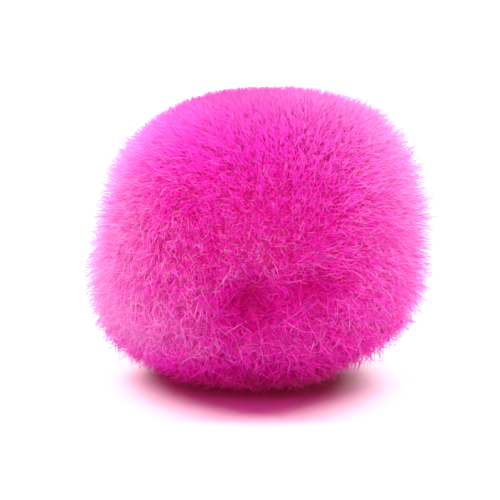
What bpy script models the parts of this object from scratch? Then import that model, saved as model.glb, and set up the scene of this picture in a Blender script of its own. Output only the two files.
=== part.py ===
"""A one-inch craft pom pom of opened acrylic yarn, lying on its own flattened underside.

The cut yarn is one pile. Its locks are fused at their roots in a small middle, where the yarn is bound,
and stand apart from there to the trimmed surface. Locks under the pile are shorter and end level.

Axes: +X to the right, +Y away from the front, +Z up. The floor is z = 0.
"""
import math
import random
from collections import namedtuple

import bmesh
import bpy
from mathutils import Matrix, Vector

MM = 0.001

# The trimmed form: a slightly boxy ball, measured from the pile's middle.
HALF_WIDTH = 12.35 * MM
HALF_DEPTH = 11.75 * MM
HALF_HEIGHT = 11.2 * MM
BOXINESS = 2.3
MIDDLE_HEIGHT = 10.5 * MM

# Where the hand-trimmed surface stands out from that ball, or falls short of it.
Swell = namedtuple("Swell", "name azimuth_deg elevation_deg raise_mm spread_deg")
SWELLS = (
    Swell("upper right", 0, 38, 0.55, 28),
    Swell("lower right", 0, -22, 0.5, 17),
    Swell("right foot", 0, -52, -0.5, 15),
    Swell("upper left flat", 180, 42, -0.6, 28),
    Swell("left flat", 180, 9, -0.75, 13),
    Swell("lower left", 180, -36, 1.3, 26),
    Swell("front brow", 270, -2, 0.35, 18),
    Swell("front cleft right", 291, -9, -1.0, 7),
    Swell("front cleft left", 267, -13, -0.9, 8),
    Swell("back", 95, 10, 0.4, 30),
    Swell("back low flat", 60, -30, -0.5, 22),
    Swell("underside", 0, -90, -0.2, 34),
)

# Slow swirls in the way the locks lie, as a turn about each axis that fades with distance.
Whorl = namedtuple("Whorl", "name azimuth_deg elevation_deg twist_deg spread_deg")
WHORLS = (
    Whorl("front", 250, 20, 20, 42),
    Whorl("front right", 318, -12, -18, 34),
    Whorl("left", 190, -5, -16, 40),
    Whorl("right", 12, 22, 17, 38),
    Whorl("back left", 130, 15, 18, 42),
    Whorl("back right", 65, -18, -18, 40),
    Whorl("crown", 0, 88, -14, 40),
)
DROOP = 0.10

# The locks: how many corners their cells share, and how unevenly they are set.
CELL_CORNERS = 262
CORNER_JITTER = 0.30
SEED = 20

# A lock's cross-sections from its root out. Reach is a share of the way from the pile's middle to its
# trimmed surface, and width a share of the lock's own cell.
Section = namedtuple("Section", "name reach width")
VALLEY_REACH = 0.60
FREE_LOCK = (
    Section("root", 0.63, 0.78),
    Section("shoulder", 0.885, 0.80),
    Section("crown", 0.955, 0.56),
    Section("tip", 1.0, 0.17),
)
FOOT_LOCK = (
    Section("root", 0.63, 0.78),
    Section("shoulder", 0.86, 0.78),
    Section("crown", 0.95, 0.70),
    Section("blunt end", 1.0, 0.56),
)
TIP_UNEVENNESS = 0.022
TIP_WANDER_DEG = 3.0
TIP_WANDER_POWER = 6
FLOOR_CLEARANCE = 0.25 * MM

PILE_COLOUR = (0.82, 0.075, 0.40, 1.0)
PILE_ROUGHNESS = 0.85


def bearing(azimuth_deg, elevation_deg):
    """Unit vector at an azimuth, counted from +X towards +Y, and an elevation above level."""
    azimuth = math.radians(azimuth_deg)
    elevation = math.radians(elevation_deg)
    level = math.cos(elevation)
    return Vector((level * math.cos(azimuth), level * math.sin(azimuth), math.sin(elevation)))


def fade(direction, azimuth_deg, elevation_deg, spread_deg):
    """1 at a bearing, falling smoothly to nothing a few spreads away from it."""
    away_deg = math.degrees(direction.angle(bearing(azimuth_deg, elevation_deg)))
    return math.exp(-((away_deg / spread_deg) ** 2))


def trimmed_reach(direction):
    """How far the trimmed surface is from the pile's middle, before the floor flattens it."""
    powers = (
        abs(direction.x / HALF_WIDTH) ** BOXINESS
        + abs(direction.y / HALF_DEPTH) ** BOXINESS
        + abs(direction.z / HALF_HEIGHT) ** BOXINESS
    )
    reach = powers ** (-1.0 / BOXINESS)
    for swell in SWELLS:
        nearness = fade(direction, swell.azimuth_deg, swell.elevation_deg, swell.spread_deg)
        reach += swell.raise_mm * MM * nearness
    return reach


def floor_reach(direction, height=MIDDLE_HEIGHT):
    """How far a level plane, height below the pile's middle, is along a direction."""
    if direction.z >= 0:
        return math.inf
    return height / -direction.z


def leaned(direction, height):
    """The direction in which a lock that starts along `direction` has got to, height 0 to 1 up it."""
    turned = direction.copy()
    for whorl in WHORLS:
        nearness = fade(direction, whorl.azimuth_deg, whorl.elevation_deg, whorl.spread_deg)
        twist = math.radians(whorl.twist_deg) * nearness * height
        turned.rotate(Matrix.Rotation(twist, 3, bearing(whorl.azimuth_deg, whorl.elevation_deg)))
    turned.z -= DROOP * height * (1.0 - turned.z ** 2)
    return turned.normalized()


def unit_cells(randomness):
    """Bmesh of the unit ball, divided into uneven cells of three or four corners, one for each lock."""
    cells = bmesh.new()
    golden_turn = math.pi * (3.0 - math.sqrt(5.0))
    pitch = math.sqrt(4.0 * math.pi / CELL_CORNERS)
    for index in range(CELL_CORNERS):
        height = 1.0 - 2.0 * (index + 0.5) / CELL_CORNERS
        ring = math.sqrt(1.0 - height * height)
        corner = Vector((ring * math.cos(golden_turn * index), ring * math.sin(golden_turn * index), height))
        jitter = Vector([randomness.uniform(-1.0, 1.0) for _axis in range(3)])
        cells.verts.new((corner + jitter * CORNER_JITTER * pitch).normalized())
    bmesh.ops.convex_hull(cells, input=cells.verts)
    bmesh.ops.join_triangles(
        cells, faces=cells.faces, angle_face_threshold=math.pi, angle_shape_threshold=math.radians(60)
    )
    return cells


def grow_lock(pile, cell, randomness):
    """Extrudes one cell of the pile's middle into a lock that runs out to the trimmed surface."""
    corners = [vertex.co.normalized() for vertex in cell.verts]
    axis = sum(corners, Vector()).normalized()
    stands_on_floor = all(
        trimmed_reach(leaned(corner, 1.0)) > floor_reach(leaned(corner, 1.0)) for corner in corners
    )
    sections = FOOT_LOCK if stands_on_floor else FREE_LOCK
    floor_height = MIDDLE_HEIGHT if stands_on_floor else MIDDLE_HEIGHT - FLOOR_CLEARANCE
    length = 1.0 if stands_on_floor else 1.0 + randomness.uniform(-2.0, 1.0) * TIP_UNEVENNESS
    wander = axis.orthogonal().normalized() * math.radians(TIP_WANDER_DEG) * randomness.random()
    wander.rotate(Matrix.Rotation(randomness.uniform(0.0, 2.0 * math.pi), 3, axis))
    first = sections[0].reach
    end = cell
    for section in sections:
        height = (section.reach - first) / (1.0 - first)
        end = bmesh.ops.extrude_discrete_faces(pile, faces=[end])["faces"][0]
        for vertex, corner in zip(end.verts, corners):
            narrowed = axis.lerp(corner, section.width).normalized()
            direction = leaned(narrowed, height) + wander * height ** TIP_WANDER_POWER
            direction.normalize()
            reach = section.reach * min(trimmed_reach(direction) * length, floor_reach(direction, floor_height))
            vertex.co = direction * reach


def pompom_mesh():
    """The whole pile as one closed mesh, standing on z = 0 with its bounds centred on x = y = 0."""
    randomness = random.Random(SEED)
    pile = unit_cells(randomness)
    cells = list(pile.faces)
    for vertex in pile.verts:
        vertex.co *= VALLEY_REACH * min(trimmed_reach(vertex.co), floor_reach(vertex.co))
    for cell in cells:
        grow_lock(pile, cell, randomness)
    bmesh.ops.recalc_face_normals(pile, faces=pile.faces)
    across = [vertex.co.x for vertex in pile.verts]
    along = [vertex.co.y for vertex in pile.verts]
    to_centre = Vector((-(min(across) + max(across)) / 2, -(min(along) + max(along)) / 2, MIDDLE_HEIGHT))
    bmesh.ops.translate(pile, verts=pile.verts, vec=to_centre)
    mesh = bpy.data.meshes.new("pompom")
    pile.to_mesh(mesh)
    pile.free()
    mesh.shade_smooth()
    return mesh


def pile_material():
    """Matt, saturated pink acrylic."""
    material = bpy.data.materials.new("pile")
    material.use_nodes = True
    surface = material.node_tree.nodes["Principled BSDF"]
    surface.inputs["Base Color"].default_value = PILE_COLOUR
    surface.inputs["Roughness"].default_value = PILE_ROUGHNESS
    surface.inputs["Metallic"].default_value = 0.0
    return material


def build():
    for leftover in list(bpy.data.objects):
        bpy.data.objects.remove(leftover)
    pompom = bpy.data.objects.new("pompom", pompom_mesh())
    pompom.data.materials.append(pile_material())
    bpy.context.scene.collection.objects.link(pompom)


build()
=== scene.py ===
"""The looks of the yarn pom pom: a pile of single curved acrylic fibres on a felted heart.

Metres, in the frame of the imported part: +X right, +Y away from the front, +Z up, the floor at z = 0.
Directions are unit vectors from the pile's middle. Azimuths count from +X towards +Y, so the front is 270.
"""
import math
from collections import namedtuple

import bmesh
import bpy
import numpy as np
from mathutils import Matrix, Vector
from mathutils.kdtree import KDTree


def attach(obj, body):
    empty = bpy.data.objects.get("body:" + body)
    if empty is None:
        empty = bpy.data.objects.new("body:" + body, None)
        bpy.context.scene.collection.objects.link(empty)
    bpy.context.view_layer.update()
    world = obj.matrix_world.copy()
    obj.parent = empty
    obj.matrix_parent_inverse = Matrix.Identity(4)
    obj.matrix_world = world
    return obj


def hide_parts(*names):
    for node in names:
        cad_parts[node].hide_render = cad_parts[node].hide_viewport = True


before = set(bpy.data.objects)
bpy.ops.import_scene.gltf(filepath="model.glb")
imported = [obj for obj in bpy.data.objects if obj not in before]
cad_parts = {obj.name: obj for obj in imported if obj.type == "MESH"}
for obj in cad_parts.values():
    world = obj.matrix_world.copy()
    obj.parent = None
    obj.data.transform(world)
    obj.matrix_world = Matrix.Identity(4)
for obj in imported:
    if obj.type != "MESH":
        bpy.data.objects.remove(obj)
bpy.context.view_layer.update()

MM = 0.001
LEAST_LENGTH = 1e-12

# The trimmed form, with the same sizes as the part's source.
MIDDLE = np.array((-0.20, -0.13, 10.5)) * MM
HALF_SIZES = np.array((12.35, 11.75, 11.2)) * MM
BOXINESS = 2.3

# A spot is a patch of the ball: it has its full amount at the bearing and fades smoothly with the angle.
Spot = namedtuple("Spot", "name azimuth_deg elevation_deg amount spread_deg")

# Swells and flats of the trimmed form, in millimetres.
SWELLS = (
    Spot("upper right", 0, 38, 0.55, 28),
    Spot("lower right", 0, -22, 0.5, 17),
    Spot("right foot", 0, -52, -0.5, 15),
    Spot("upper left flat", 180, 42, -0.6, 28),
    Spot("left flat", 180, 9, -0.75, 13),
    Spot("lower left", 180, -36, 1.3, 26),
    Spot("front brow", 270, -2, 0.35, 18),
    Spot("front cleft right", 291, -9, -1.0, 7),
    Spot("front cleft left", 267, -13, -0.9, 8),
    Spot("back", 95, 10, 0.4, 30),
    Spot("back low flat", 60, -30, -0.5, 22),
    Spot("underside", 0, -90, -0.2, 34),
)

# Slow swirls in the way the fibres lie, as a turn in degrees about each bearing. The fibres take a share
# of the turn that the locks of the part have.
WHORLS = (
    Spot("front", 250, 20, 20, 42),
    Spot("front right", 318, -12, -18, 34),
    Spot("left", 190, -5, -16, 40),
    Spot("right", 12, 22, 17, 38),
    Spot("back left", 130, 15, 18, 42),
    Spot("back right", 65, -18, -18, 40),
    Spot("crown", 0, 88, -14, 40),
)
SWIRL_SHARE = 0.22

# How loosely the pile stands: 0 where it is packed and clipped short, 1 where it is open and fuzzy.
BASE_LOOSENESS = 0.2
LOOSE_SPOTS = (
    Spot("left side", 182, 6, 0.9, 36),
    Spot("right side", -2, 8, 0.75, 44),
    Spot("front brow", 270, -1, 0.15, 14),
    Spot("lower left", 200, -30, 0.10, 28),
    Spot("lower right", 338, -25, 0.25, 28),
    Spot("lower front", 270, -35, 0.3, 32),
    Spot("right foot", 0, -50, -0.5, 18),
    Spot("upper right", 4, 36, 0.3, 22),
    Spot("back", 90, -10, 0.45, 50),
    Spot("crown", 0, 90, -0.2, 45),
)

# How much paler than elsewhere the fibres are painted, as painted light and shade: the open sides and the
# crown are paler where light falls on them, and the underside and the two clefts of the front are deeper,
# painted shade.
PAINTED_LIGHT_AND_SHADE_SPOTS = (
    Spot("crown", 0, 84, 0.38, 44),
    Spot("left side", 184, 4, 0.78, 48),
    Spot("right side", -2, 17, 0.64, 49),
    Spot("lower left", 224, -41, 0.39, 30),
    Spot("lower right", 320, -30, 0.09, 28),
    Spot("front brow", 268, 0, 0.19, 19),
    Spot("left cleft", 266, -15, -0.43, 10),
    Spot("right cleft", 289, -9, -0.22, 9),
    Spot("lower front", 272, -34, 0.22, 15),
    Spot("underside", 0, -90, -1.00, 42),
    Spot("back", 90, 0, 0.15, 45),
)

# Painted shade where the yarn looks darkest, so that even its pale fibres lose most of their shade: under
# the foot, and in the left cleft. Here and below, heights run from 1 at the crown to -1 at the underside.
FOOT_STARTS_BELOW = -0.52
FOOT_STEEPNESS = 4.2
PAINTED_SHADE_SPOTS = (Spot("left cleft", 266, -16, 0.7, 10),)
PAINTED_SHADE_LOSS = 0.92

# Where the tips stand even, and the fibres alike: over the crown and at the lower left.
EVEN_STARTS_ABOVE = 0.2
EVEN_STEEPNESS = 1.5
EVEN_SPOTS = (Spot("lower left", 194, -38, 0.8, 30),)
MOST_EVEN = 0.8

# The under half, where the fibres hang longer and tangle.
LOW_AT_LEVEL = 0.15
LOW_STEEPNESS = 2.5

# Where the pile parts and shows its depth. Near each spot the fibres are shorter by a share of the ball's
# reach, and in the left cleft they lean well away from it. At the feet they are only shorter. A parting
# is bare of loose fibres and strays where they would be shorter by one part in the bareness.
PARTED_SPOTS = (
    Spot("right cleft, inner", 285, -10, 0.01, 6.5),
    Spot("right cleft, outer", 293, -10, 0.01, 6.5),
    Spot("left cleft, upper", 266, -10, 0.07, 6),
    Spot("left cleft, lower", 267, -20, 0.06, 6),
)
SHORT_SPOTS = (
    Spot("right cleft, inner", 285, -10, 0.06, 6.5),
    Spot("right cleft, outer", 293, -10, 0.06, 6.5),
    Spot("left cleft, upper", 266, -10, 0.09, 6),
    Spot("left cleft, lower", 267, -20, 0.09, 6),
    Spot("left foot", 196, -46, 0.06, 20),
    Spot("right foot", 335, -58, 0.04, 17),
)
PARTING_BARENESS = 20.0

# The kinds of fibre, each scattered over the whole ball. A fibre is kept with one chance where the pile is
# packed and another where it is loose, and at least with its low chance on the under half. Reaches are
# shares of the way from the middle to the trimmed surface: of the root, and of the shortest and longest
# tips where the pile is packed and loose. Droop, tangle, curl and clump are sideways moves, as shares of
# the distance from the middle. Filling is how much longer the fibres are where the tips stand even.
# Pale is each kind's mean shade: the loose fibres and strays are paler, as painted light on strands that
# stand out, and the short pile is deeper, as painted shade low in the pile.
Kind = namedtuple(
    "Kind",
    "name pieces fibres seed kept_packed kept_loose kept_low rings root_reach packed_low packed_high"
    " loose_low loose_high filling radius_mm droop tangle curl clump pale",
)
KINDS = (
    Kind(
        "short_pile", pieces=2, fibres=34000, seed=11, kept_packed=1, kept_loose=1, kept_low=1, rings=1,
        root_reach=0.86, packed_low=0.92, packed_high=0.965, loose_low=0.76, loose_high=0.90, filling=0.045,
        radius_mm=0.038, droop=0.01, tangle=0.03, curl=0.02, clump=0.20, pale=0.12,
    ),
    Kind(
        "pile", pieces=3, fibres=74000, seed=12, kept_packed=1, kept_loose=1, kept_low=1, rings=1,
        root_reach=0.92, packed_low=0.955, packed_high=1.02, loose_low=0.84, loose_high=1.15, filling=0.0,
        radius_mm=0.031, droop=0.02, tangle=0.045, curl=0.035, clump=0.22, pale=0.25,
    ),
    Kind(
        "loose_fibres", pieces=2, fibres=46000, seed=13, kept_packed=0, kept_loose=1, kept_low=0.1, rings=1,
        root_reach=0.95, packed_low=0.98, packed_high=1.03, loose_low=0.92, loose_high=1.20, filling=0.0,
        radius_mm=0.024, droop=0.02, tangle=0.05, curl=0.04, clump=0.05, pale=0.52,
    ),
    Kind(
        "strays", pieces=1, fibres=10000, seed=14, kept_packed=0, kept_loose=0.10, kept_low=0.5, rings=2,
        root_reach=0.96, packed_low=0.985, packed_high=1.035, loose_low=0.97, loose_high=1.06, filling=0.0,
        radius_mm=0.042, droop=0.02, tangle=0.075, curl=0.10, clump=0.10, pale=0.56,
    ),
)

# Fibres gather in clumps, and clumps in tufts. Each bunch leans its own way and is a little longer or
# shorter and paler or deeper than its neighbours. The loose parts keep less of that.
Bunch = namedtuple("Bunch", "name number tilt longer paler seed")
BUNCHES = (
    Bunch("clumps", 5200, 0.05, 0.012, 0.07, 5),
    Bunch("tufts", 1300, 0.04, 0.008, 0.04, 6),
)
BUNCH_JITTER = 0.5
BUNCHING_LOST_LOOSE = 0.5
CLUMPING_LOST_LOOSE = 0.8

# How each fibre lies. It turns sideways late on its way out, and tangles more below and where it is loose.
# Loose fibres are thinner and rooted deeper, and more of their tips are short. Where the tips stand even,
# their lengths keep a part of their range and are nearer to the longest. None dips below the floor.
FIBRE_JITTER = 1.0
SIDEWAYS_NOISE = 0.7
SIDEWAYS_LATENESS = 2.4
TANGLE_LOW = 1.5
TANGLE_LOOSE = 1.6
SHORT_TIPS_LOOSE = 1.8
EVEN_TIP_RANGE = 0.4
EVEN_TIP_RAISE = 0.4
LOOSE_THINNING = 0.55
LOOSE_ROOT_SINKING = 0.10
FLOOR_GAP = 0.01 * MM

# How each fibre is drawn: with three sides, its rings set a little towards the tip, and a small taper.
FIBRE_SIDES = 3
RING_CROWDING = 0.75
LAST_RING_SIZE = 0.75

# Shades run from 0, deepest, to 1, palest, and a fibre's place in the UV map is a narrow strip at its own
# shade. Where the tips stand even, the roots lose most of their painted shade and take most of the tips'
# hue.
SHADE_SPREAD = 0.16
DEEPEST_SHADE = 0.12
PALEST_SHADE = 0.98
EVEN_HUE = 0.9
SHADE_HALF_WIDTH = 0.004
# Up to this share of its length a fibre keeps its deep root colour, painted shade in the depth of the pile,
# and from the next share on its pale tip colour, painted light.
PAINTED_ROOT_SHADE_UP_TO = 0.2
PAINTED_TIP_LIGHT_FROM = 0.9

# The felted mass of roots in the middle, lumpy all over. Its reach and the height of its lumps are shares
# of the way from the middle to the trimmed surface.
HEART_REACH = 0.86
HEART_LUMP = 0.02
HEART_LUMPS = 160
HEART_LUMP_DEG = 8.0
HEART_JITTER = 0.6
HEART_SEED = 8
HEART_FINENESS = 6
HEART_GRAIN_PER_M = 1400.0

# The studio: white paper, seen brighter than it shines back, and a room lit from behind and above.
FLOOR_HALF_SIZE = 4.0
FLOOR_SEEN = 0.5
FLOOR_BOUNCE = 0.05
ROOM_LIGHT_ELEVATION_DEG = 25
ROOM_LIGHT = 0.25
ROOM_DARK_FACING = -0.45
ROOM_LIGHT_FACING = 0.6
ROOM_DARK_BELOW = -0.05
ROOM_LIGHT_ABOVE = 0.30
LIGHT_BOUNCES = 16

# The lights. Some reach only one group of things, and some are stopped only by one. The washes keep the
# paper white, and the two pink lights are what comes through the pile and, redder, through its depth.
WHITE = (1.0, 1.0, 1.0)
WARM_WHITE = (1.0, 1.0, 0.40)
SOFT_WHITE = (1.0, 1.0, 0.86)
THROUGH_PILE = (1.0, 0.0, 0.64)
THROUGH_DEPTH = (1.0, 0.0, 0.0)
Light = namedtuple("Light", "name azimuth_deg elevation_deg spread_deg strength colour lit stopped_by")
LIGHTS = (
    Light("overhead", 90, 78, 40, 0.3, WARM_WHITE, None, None),
    Light("through the pile", 90, 80, 56, 2.4, THROUGH_PILE, "paper", "heart"),
    Light("through its depth", 90, 80, 88, 1.95, THROUGH_DEPTH, "paper", "heart"),
    Light("left wash", 141, 43, 35, 8.6, WHITE, "paper", None),
    Light("right wash", 40, 44, 35, 8.6, WHITE, "paper", None),
    Light("front fill", 261, 20, 60, 4.1, WHITE, "pile", None),
    Light("left edge", 168, -4, 40, 3.9, SOFT_WHITE, "pile", "pile"),
    Light("right edge", 12, 2, 40, 3.8, WHITE, "pile", "pile"),
)

# The camera looks at the front from a little above level.
CAMERA_ELEVATION_DEG = 12.0
CAMERA_DISTANCE = 260 * MM
CAMERA_NEAR = 10 * MM
SENSOR_MM = 36.0
IMAGE_PX = 500
PX_SIZE_AT_BALL = 25.0 * MM / 330
BALL_CENTRE_PX = (259.0, 238.0)


def bearing(azimuth_deg, elevation_deg):
    """Unit vector at an azimuth, counted from +X towards +Y, and an elevation above level."""
    azimuth = math.radians(azimuth_deg)
    elevation = math.radians(elevation_deg)
    level = math.cos(elevation)
    return np.array((level * math.cos(azimuth), level * math.sin(azimuth), math.sin(elevation)))


def unit(vectors):
    """The vectors, each at a length of one."""
    return vectors / np.maximum(np.linalg.norm(vectors, axis=-1, keepdims=True), LEAST_LENGTH)


def nearness(directions, spot):
    """1 at a spot's bearing, falling smoothly to nothing a few spreads away from it."""
    cosines = np.clip(directions @ bearing(spot.azimuth_deg, spot.elevation_deg), -1.0, 1.0)
    return np.exp(-((np.degrees(np.arccos(cosines)) / spot.spread_deg) ** 2))


def total(spots, directions):
    """The amounts of all the spots, summed at each direction."""
    amounts = np.zeros(directions.shape[:-1])
    for spot in spots:
        amounts += spot.amount * nearness(directions, spot)
    return amounts


def surface_reach(directions):
    """How far the trimmed surface, or the floor under it, is from the pile's middle."""
    reach = (np.abs(directions / HALF_SIZES) ** BOXINESS).sum(axis=-1) ** (-1.0 / BOXINESS)
    reach = reach + total(SWELLS, directions) * MM
    down = np.maximum(-directions[..., 2], LEAST_LENGTH)
    return np.minimum(reach, MIDDLE[2] / down)


def swirl(directions):
    """Sideways pull of the whorls at each direction, in radians."""
    pull = np.zeros_like(directions)
    for whorl in WHORLS:
        axis = bearing(whorl.azimuth_deg, whorl.elevation_deg)
        turn = math.radians(whorl.amount) * nearness(directions, whorl)
        pull += np.cross(axis, directions) * turn[:, None]
    return pull


def parted(directions):
    """Sideways push away from the spots where the pile parts."""
    push = np.zeros_like(directions)
    for spot in PARTED_SPOTS:
        away = unit(directions - bearing(spot.azimuth_deg, spot.elevation_deg))
        push += away * (spot.amount * nearness(directions, spot))[:, None]
    return push


def looseness(directions):
    """0 where the pile is packed, up to 1 where it is loose."""
    return np.clip(BASE_LOOSENESS + total(LOOSE_SPOTS, directions), 0.0, 1.0)


def lowness(directions):
    """0 on the upper half, rising to 1 on the under half, where the fibres hang longer and tangle."""
    return np.clip(LOW_AT_LEVEL - directions[:, 2] * LOW_STEEPNESS, 0.0, 1.0)


def evenness(directions):
    """0 where the tips stand ruffled, rising over the crown and the lower left, where all are alike."""
    crown = (directions[:, 2] - EVEN_STARTS_ABOVE) * EVEN_STEEPNESS
    return np.clip(np.maximum(crown, total(EVEN_SPOTS, directions)), 0.0, MOST_EVEN)


def depth(directions):
    """1 under the foot and much of that in the left cleft, where painted shade makes the yarn darkest; 0
    elsewhere.
    """
    foot = (FOOT_STARTS_BELOW - directions[:, 2]) * FOOT_STEEPNESS
    return np.clip(np.maximum(foot, total(PAINTED_SHADE_SPOTS, directions)), 0.0, 1.0)


def even_directions(count, randomness, jitter):
    """Unit vectors spread evenly over the ball, each moved by up to jitter pitches."""
    index = np.arange(count) + 0.5
    height = 1.0 - 2.0 * index / count
    ring = np.sqrt(1.0 - height * height)
    turn = math.pi * (3.0 - math.sqrt(5.0)) * index
    spots = np.stack((ring * np.cos(turn), ring * np.sin(turn), height), axis=1)
    pitch = math.sqrt(4.0 * math.pi / count)
    return unit(spots + randomness.uniform(-1.0, 1.0, spots.shape) * jitter * pitch)


def sideways(directions, randomness):
    """A random vector across each direction, its length under 1 and mostly near a half."""
    noise = randomness.normal(0.0, SIDEWAYS_NOISE, directions.shape)
    noise /= np.sqrt(1.0 + (noise * noise).sum(axis=1, keepdims=True))
    return noise - directions * (noise * directions).sum(axis=1, keepdims=True)


def nearest(directions, centres):
    """Index of the centre nearest to each direction."""
    tree = KDTree(len(centres))
    for index, centre in enumerate(centres):
        tree.insert(centre, index)
    tree.balance()
    return np.array([tree.find(direction)[1] for direction in directions])


def gathered():
    """For each size of bunch: where its centres are, and how far each leans, outgrows and outshines."""
    bunches = []
    for bunch in BUNCHES:
        randomness = np.random.default_rng(bunch.seed)
        centres = even_directions(bunch.number, randomness, BUNCH_JITTER)
        lean = sideways(centres, randomness) * bunch.tilt
        longer = randomness.normal(0.0, bunch.longer, bunch.number)
        paler = randomness.normal(0.0, bunch.paler, bunch.number)
        bunches.append((centres, lean, longer, paler))
    return bunches


def fibre_roots(kind, randomness):
    """The directions in which the fibres of one kind stand, in random order."""
    roots = even_directions(kind.fibres, randomness, FIBRE_JITTER)
    roots = roots[randomness.permutation(kind.fibres)]
    kept = kind.kept_packed + (kind.kept_loose - kind.kept_packed) * looseness(roots)
    kept = np.maximum(kept, kind.kept_low * lowness(roots))
    if kind.kept_packed < kind.kept_loose:
        kept *= 1.0 - np.clip(total(SHORT_SPOTS, roots) * PARTING_BARENESS, 0.0, 1.0)
        kept *= 1.0 - evenness(roots)
    return roots[randomness.random(kind.fibres) < kept]


def fibre_paths(kind, bunches):
    """Points along each fibre from root to tip, and its shade, its radius and how plain its hue is."""
    randomness = np.random.default_rng(kind.seed)
    roots = fibre_roots(kind, randomness)
    count = len(roots)
    loose = looseness(roots)
    low = lowness(roots)
    even = evenness(roots)
    ruffled = 1.0 - even
    bunched = ruffled * (1.0 - BUNCHING_LOST_LOOSE * loose)
    clumped = ruffled * (1.0 - CLUMPING_LOST_LOOSE * loose) * kind.clump / len(bunches)
    side = swirl(roots) * SWIRL_SHARE + parted(roots)
    longer = kind.filling * even - total(SHORT_SPOTS, roots)
    # Painted light and shade by spot, then the random tone of each bunch.
    paler = total(PAINTED_LIGHT_AND_SHADE_SPOTS, roots)
    for centres, bunch_lean, bunch_longer, bunch_paler in bunches:
        own = nearest(roots, centres)
        side += bunch_lean[own] * bunched[:, None]
        side += (centres[own] - roots) * clumped[:, None]
        longer += bunch_longer[own] * bunched
        paler += bunch_paler[own] * ruffled
    tangle = kind.tangle * (1.0 + TANGLE_LOW * low + TANGLE_LOOSE * loose)
    side += sideways(roots, randomness) * tangle[:, None]
    side[:, 2] -= kind.droop * (1.0 + low) * (1.0 - roots[:, 2] ** 2)
    bend = sideways(roots, randomness) * (kind.curl * (1.0 + low + loose))[:, None]

    shortest = kind.packed_low + (kind.loose_low - kind.packed_low) * loose
    longest = kind.packed_high + (kind.loose_high - kind.packed_high) * loose
    place = randomness.random(count) ** (1.0 + SHORT_TIPS_LOOSE * loose) - 0.5
    place = 0.5 + place * (EVEN_TIP_RANGE + (1.0 - EVEN_TIP_RANGE) * ruffled) + EVEN_TIP_RAISE * even
    tips = shortest + (longest - shortest) * place + longer
    starts = kind.root_reach - LOOSE_ROOT_SINKING * loose

    paths = []
    for step in np.linspace(0.0, 1.0, kind.rings + 2) ** RING_CROWDING:
        heading = unit(roots + side * step ** SIDEWAYS_LATENESS + bend * math.sin(math.pi * step))
        reach = surface_reach(heading) * (starts + (tips - starts) * step)
        paths.append(MIDDLE + heading * reach[:, None])

    # A fibre's shade: its kind's mean, the painted light and shade of the spots, the random tone of its
    # bunches, and its own random tone.
    shade = kind.pale + paler + randomness.normal(0.0, SHADE_SPREAD, count) * ruffled
    # Painted shade under the foot and in the left cleft.
    shade = np.clip(shade, DEEPEST_SHADE, PALEST_SHADE) * (1.0 - PAINTED_SHADE_LOSS * depth(roots))
    radii = kind.radius_mm * MM * (1.0 - LOOSE_THINNING * loose)
    return np.stack(paths, axis=1), shade, radii, EVEN_HUE * even


def fibre_pattern(rings):
    """Faces of one fibre as corner numbers, root first and tip last, and the same corners' UVs.

    U is left to be moved to the fibre's shade, and V runs from 0 at the root to 1 at the tip.
    """
    steps = np.linspace(0.0, 1.0, rings + 2)
    half = SHADE_HALF_WIDTH
    tip = 1 + rings * FIBRE_SIDES
    last = tip - FIBRE_SIDES
    sides = [(side, (side + 1) % FIBRE_SIDES) for side in range(FIBRE_SIDES)]
    faces = []
    uvs = []
    for left, right in sides:
        faces.append((0, 1 + right, 1 + left))
        uvs.append(((0.0, steps[0]), (half, steps[1]), (-half, steps[1])))
    for ring in range(rings - 1):
        base = 1 + ring * FIBRE_SIDES
        above = base + FIBRE_SIDES
        low, high = steps[ring + 1], steps[ring + 2]
        for left, right in sides:
            faces.append((base + left, base + right, above + right, above + left))
            uvs.append(((-half, low), (half, low), (half, high), (-half, high)))
    for left, right in sides:
        faces.append((last + left, last + right, tip))
        uvs.append(((-half, steps[-2]), (half, steps[-2]), (0.0, steps[-1])))
    return faces, uvs


def fibre_points(paths, radii):
    """Corners of each fibre: its root, a ring of three at each inner point of its path, and its tip."""
    count, points, _xyz = paths.shape
    rings = points - 2
    chord = unit(paths[:, -1] - paths[:, 0])
    least = np.eye(3)[np.argmin(np.abs(chord), axis=1)]
    across = unit(np.cross(chord, least))
    middle = paths[:, 1:-1]
    along = unit(paths[:, 2:] - paths[:, :-2])
    first = unit(across[:, None] - along * (along * across[:, None]).sum(axis=2, keepdims=True))
    second = np.cross(along, first)
    size = radii[:, None, None] * np.linspace(1.0, LAST_RING_SIZE, rings)[None, :, None]
    corners = []
    for side in range(FIBRE_SIDES):
        angle = 2.0 * math.pi * side / FIBRE_SIDES
        corners.append(middle + (first * math.cos(angle) + second * math.sin(angle)) * size)
    ring_points = np.stack(corners, axis=2).reshape(count, rings * FIBRE_SIDES, 3)
    vertices = np.concatenate((paths[:, :1], ring_points, paths[:, -1:]), axis=1)
    vertices[:, :, 2] = np.maximum(vertices[:, :, 2], FLOOR_GAP)
    return vertices


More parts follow.
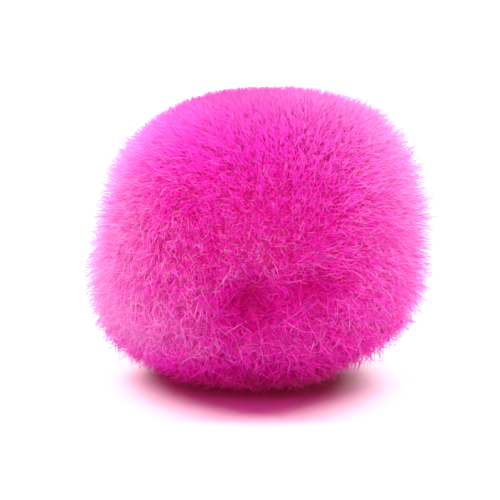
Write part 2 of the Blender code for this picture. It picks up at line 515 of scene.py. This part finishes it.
def fibre_mesh(name, paths, shade, radii, plainness):
    """Joined closed fibres, with each one's shade as U and the way from root to tip as V.

    A plain fibre's V starts nearer to the tip's, so its root has less painted shade and takes more of the
    tip's hue.
    """
    vertices = fibre_points(paths, radii)
    count, per_fibre, _xyz = vertices.shape
    faces, uvs = fibre_pattern(paths.shape[1] - 2)
    pattern = np.concatenate([np.array(face) for face in faces])
    pattern_uv = np.concatenate([np.array(uv) for uv in uvs])
    sizes = np.array([len(face) for face in faces])
    loops = (pattern[None] + (np.arange(count) * per_fibre)[:, None]).ravel()
    starts = np.concatenate(([0], np.cumsum(np.tile(sizes, count))[:-1]))
    uv = np.repeat(pattern_uv[None], count, axis=0)
    uv[:, :, 0] += shade[:, None]
    uv[:, :, 1] += plainness[:, None] * (1.0 - uv[:, :, 1])
    mesh = bpy.data.meshes.new(name)
    mesh.vertices.add(count * per_fibre)
    mesh.vertices.foreach_set("co", vertices.astype(np.float32).ravel())
    mesh.loops.add(len(loops))
    mesh.loops.foreach_set("vertex_index", loops.astype(np.int32))
    mesh.polygons.add(len(starts))
    mesh.polygons.foreach_set("loop_start", starts.astype(np.int32))
    layer = mesh.uv_layers.new(name="OFBake")
    layer.data.foreach_set("uv", uv.astype(np.float32).ravel())
    mesh.update(calc_edges=True)
    mesh.shade_smooth()
    return mesh


def heart_mesh():
    """The closed, lumpy mass from which the fibres rise."""
    shell = bmesh.new()
    bmesh.ops.create_icosphere(shell, subdivisions=HEART_FINENESS, radius=1.0)
    spots = unit(np.array([vertex.co for vertex in shell.verts]))
    lumps = np.zeros(len(spots))
    for centre in even_directions(HEART_LUMPS, np.random.default_rng(HEART_SEED), HEART_JITTER):
        away = np.degrees(np.arccos(np.clip(spots @ centre, -1.0, 1.0)))
        lumps = np.maximum(lumps, np.exp(-((away / HEART_LUMP_DEG) ** 2)))
    share = HEART_REACH - LOOSE_ROOT_SINKING * looseness(spots) + HEART_LUMP * (lumps - 0.5)
    reach = surface_reach(spots) * share
    for vertex, place in zip(shell.verts, MIDDLE + spots * reach[:, None]):
        vertex.co = place
    mesh = bpy.data.meshes.new("heart")
    shell.to_mesh(mesh)
    shell.free()
    mesh.shade_smooth()
    return mesh


def new_material(name):
    """A material with its nodes, its links and its Principled shader."""
    material = bpy.data.materials.new(name)
    material.use_nodes = True
    nodes, links = material.node_tree.nodes, material.node_tree.links
    return material, nodes, links, nodes["Principled BSDF"]


def ramp(nodes, stops):
    """A colour ramp node with the given (position, colour) stops."""
    node = nodes.new("ShaderNodeValToRGB")
    elements = node.color_ramp.elements
    while len(elements) < len(stops):
        elements.new(0.5)
    for element, (position, colour) in zip(elements, stops):
        element.position = position
        element.color = (*colour, 1.0)
    return node


def fibre_material():
    """Pink acrylic fibre: deep at the root as painted shade, pale at the tip as painted light, and a shade
    of its own for each fibre.
    """
    material, nodes, links, shader = new_material("acrylic_fibre")
    uv = nodes.new("ShaderNodeUVMap")
    uv.uv_map = "OFBake"
    split = nodes.new("ShaderNodeSeparateXYZ")
    links.new(uv.outputs["UV"], split.inputs["Vector"])
    # The stops at 0 are deep colours that only the painted shade under the foot and in the left cleft
    # reaches.
    root = ramp(nodes, (
        (0.0, (0.36, 0.0001, 0.025)),
        (0.12, (0.92, 0.001, 0.37)),
        (0.6, (0.98, 0.012, 0.60)),
        (1.0, (1.0, 0.32, 0.88)),
    ))
    tip = ramp(nodes, (
        (0.0, (0.38, 0.0003, 0.04)),
        (0.12, (0.97, 0.003, 0.58)),
        (0.45, (0.995, 0.043, 0.79)),
        (0.75, (1.0, 0.20, 0.80)),
        (1.0, (1.0, 0.52, 0.94)),
    ))
    links.new(split.outputs["X"], root.inputs["Fac"])
    links.new(split.outputs["X"], tip.inputs["Fac"])
    # The root colour blends into the tip colour along the fibre: painted shade deep in the pile, painted
    # light at the tips.
    outer = nodes.new("ShaderNodeMapRange")
    outer.interpolation_type = "SMOOTHSTEP"
    outer.inputs["From Min"].default_value = PAINTED_ROOT_SHADE_UP_TO
    outer.inputs["From Max"].default_value = PAINTED_TIP_LIGHT_FROM
    links.new(split.outputs["Y"], outer.inputs["Value"])
    mix = nodes.new("ShaderNodeMix")
    mix.data_type = "RGBA"
    links.new(outer.outputs["Result"], mix.inputs["Factor"])
    links.new(root.outputs["Color"], mix.inputs[6])
    links.new(tip.outputs["Color"], mix.inputs[7])
    links.new(mix.outputs[2], shader.inputs["Base Color"])
    shader.inputs["Roughness"].default_value = 0.45
    shader.inputs["Specular IOR Level"].default_value = 0.12
    # A faint red glow: painted light that stands in for light passing through the fibres.
    shader.inputs["Emission Color"].default_value = (1.0, 0.0, 0.22, 1.0)
    shader.inputs["Emission Strength"].default_value = 0.085
    return material


def heart_material():
    """The felted mass of roots that shows between the fibres."""
    material, nodes, links, shader = new_material("felted_roots")
    place = nodes.new("ShaderNodeTexCoord")
    noise = nodes.new("ShaderNodeTexNoise")
    noise.inputs["Scale"].default_value = HEART_GRAIN_PER_M
    noise.inputs["Detail"].default_value = 4.0
    links.new(place.outputs["Object"], noise.inputs["Vector"])
    # A deeper pink than the fibres, as painted shade in the depth of the pile, with a random grain.
    colour = ramp(nodes, ((0.35, (0.68, 0.001, 0.25)), (0.7, (0.80, 0.002, 0.34))))
    links.new(noise.outputs["Fac"], colour.inputs["Fac"])
    links.new(colour.outputs["Color"], shader.inputs["Base Color"])
    shader.inputs["Roughness"].default_value = 0.9
    return material


def add_piece(name, mesh, material):
    """Links a mesh as a piece that stands for the CAD pile, and gives the piece."""
    piece = bpy.data.objects.new(name, mesh)
    piece.data.materials.append(material)
    bpy.context.scene.collection.objects.link(piece)
    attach(piece, "root")
    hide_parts("pompom")
    return piece


def build_fibres():
    """Every kind of fibre, in a few pieces each."""
    pieces = []
    material = fibre_material()
    bunches = gathered()
    for kind in KINDS:
        columns = fibre_paths(kind, bunches)
        parts = zip(*(np.array_split(column, kind.pieces) for column in columns))
        for number, part in enumerate(parts, start=1):
            name = f"{kind.name}_{number}"
            pieces.append(add_piece(name, fibre_mesh(name, *part), material))
    return pieces


def floor_material():
    """White paper that is bright to the camera and casts little light up under the pompom."""
    material, nodes, links, shader = new_material("white_paper")
    seen = nodes.new("ShaderNodeLightPath")
    white = nodes.new("ShaderNodeMapRange")
    white.inputs["To Min"].default_value = FLOOR_BOUNCE
    white.inputs["To Max"].default_value = FLOOR_SEEN
    links.new(seen.outputs["Is Camera Ray"], white.inputs["Value"])
    links.new(white.outputs["Result"], shader.inputs["Base Color"])
    shader.inputs["Roughness"].default_value = 0.8
    shader.inputs["Specular IOR Level"].default_value = 0.0
    return material


def build_floor():
    """A white floor that runs out of view."""
    edge = FLOOR_HALF_SIZE
    corners = [(-edge, -edge, 0), (edge, -edge, 0), (edge, edge, 0), (-edge, edge, 0)]
    mesh = bpy.data.meshes.new("floor")
    mesh.from_pydata(corners, [], [(0, 1, 2, 3)])
    floor = bpy.data.objects.new("floor", mesh)
    floor.data.materials.append(floor_material())
    bpy.context.scene.collection.objects.link(floor)
    return floor


def build_room():
    """A room that looks white all round, and whose light comes from the back and from above the floor."""
    world = bpy.data.worlds.new("white_room")
    world.use_nodes = True
    nodes, links = world.node_tree.nodes, world.node_tree.links
    background = nodes["Background"]
    background.inputs["Color"].default_value = (1.0, 1.0, 1.0, 1.0)
    place = nodes.new("ShaderNodeTexCoord")
    facing = nodes.new("ShaderNodeVectorMath")
    facing.operation = "DOT_PRODUCT"
    facing.inputs[1].default_value = tuple(bearing(90, ROOM_LIGHT_ELEVATION_DEG))
    links.new(place.outputs["Generated"], facing.inputs[0])
    behind = nodes.new("ShaderNodeMapRange")
    behind.inputs["From Min"].default_value = ROOM_DARK_FACING
    behind.inputs["From Max"].default_value = ROOM_LIGHT_FACING
    behind.inputs["To Max"].default_value = ROOM_LIGHT
    links.new(facing.outputs["Value"], behind.inputs["Value"])
    split = nodes.new("ShaderNodeSeparateXYZ")
    links.new(place.outputs["Generated"], split.inputs["Vector"])
    height = nodes.new("ShaderNodeMapRange")
    height.interpolation_type = "SMOOTHSTEP"
    height.inputs["From Min"].default_value = ROOM_DARK_BELOW
    height.inputs["From Max"].default_value = ROOM_LIGHT_ABOVE
    links.new(split.outputs["Z"], height.inputs["Value"])
    cast = nodes.new("ShaderNodeMath")
    cast.operation = "MULTIPLY"
    links.new(behind.outputs["Result"], cast.inputs[0])
    links.new(height.outputs["Result"], cast.inputs[1])
    seen = nodes.new("ShaderNodeLightPath")
    strength = nodes.new("ShaderNodeMapRange")
    links.new(seen.outputs["Is Camera Ray"], strength.inputs["Value"])
    links.new(cast.outputs["Value"], strength.inputs["To Min"])
    strength.inputs["To Max"].default_value = 1.0
    links.new(strength.outputs["Result"], background.inputs["Strength"])
    bpy.context.scene.world = world


def gather(name, pieces):
    """A collection of pieces, for a light to be limited to."""
    collection = bpy.data.collections.new(name)
    for piece in pieces:
        collection.objects.link(piece)
    return collection


def add_light(row, groups):
    """A wide, even light from one side of the sky, limited to the groups of pieces that its row names."""
    light = bpy.data.lights.new(row.name, "SUN")
    light.color = row.colour
    light.angle = math.radians(row.spread_deg)
    light.energy = row.strength
    holder = bpy.data.objects.new(row.name, light)
    towards = Vector(bearing(row.azimuth_deg, row.elevation_deg))
    holder.rotation_euler = towards.to_track_quat("Z", "Y").to_euler()
    bpy.context.scene.collection.objects.link(holder)
    if row.lit is not None:
        holder.light_linking.receiver_collection = groups[row.lit]
    if row.stopped_by is not None:
        holder.light_linking.blocker_collection = groups[row.stopped_by]


def build_lights(fibres, heart, floor):
    """All the lights, and the groups of pieces that they reach or are stopped by."""
    members = {"pile": [*fibres, heart], "paper": [floor], "heart": [heart]}
    groups = {name: gather(name, pieces) for name, pieces in members.items()}
    for row in LIGHTS:
        add_light(row, groups)


def build_camera():
    """A camera that sees the ball where BALL_CENTRE_PX says, at PX_SIZE_AT_BALL a pixel."""
    camera = bpy.data.cameras.new("camera")
    camera.sensor_width = SENSOR_MM
    camera.lens = SENSOR_MM * CAMERA_DISTANCE / (IMAGE_PX * PX_SIZE_AT_BALL)
    camera.clip_start = CAMERA_NEAR
    holder = bpy.data.objects.new("camera", camera)
    elevation = math.radians(CAMERA_ELEVATION_DEG)
    right = Vector((1.0, 0.0, 0.0))
    up = Vector((0.0, math.sin(elevation), math.cos(elevation)))
    back = Vector((0.0, -math.cos(elevation), math.sin(elevation)))
    middle_px = IMAGE_PX / 2
    aim = Vector(MIDDLE) - right * (BALL_CENTRE_PX[0] - middle_px) * PX_SIZE_AT_BALL
    aim += up * (BALL_CENTRE_PX[1] - middle_px) * PX_SIZE_AT_BALL
    holder.location = aim + back * CAMERA_DISTANCE
    holder.rotation_euler = (-back).to_track_quat("-Z", "Y").to_euler()
    bpy.context.scene.collection.objects.link(holder)
    bpy.context.scene.camera = holder


fibres = build_fibres()
heart = add_piece("heart", heart_mesh(), heart_material())
build_room()
build_lights(fibres, heart, build_floor())
build_camera()
scene = bpy.context.scene
scene.cycles.max_bounces = LIGHT_BOUNCES
scene.cycles.diffuse_bounces = LIGHT_BOUNCES
scene.view_settings.view_transform = "Standard"
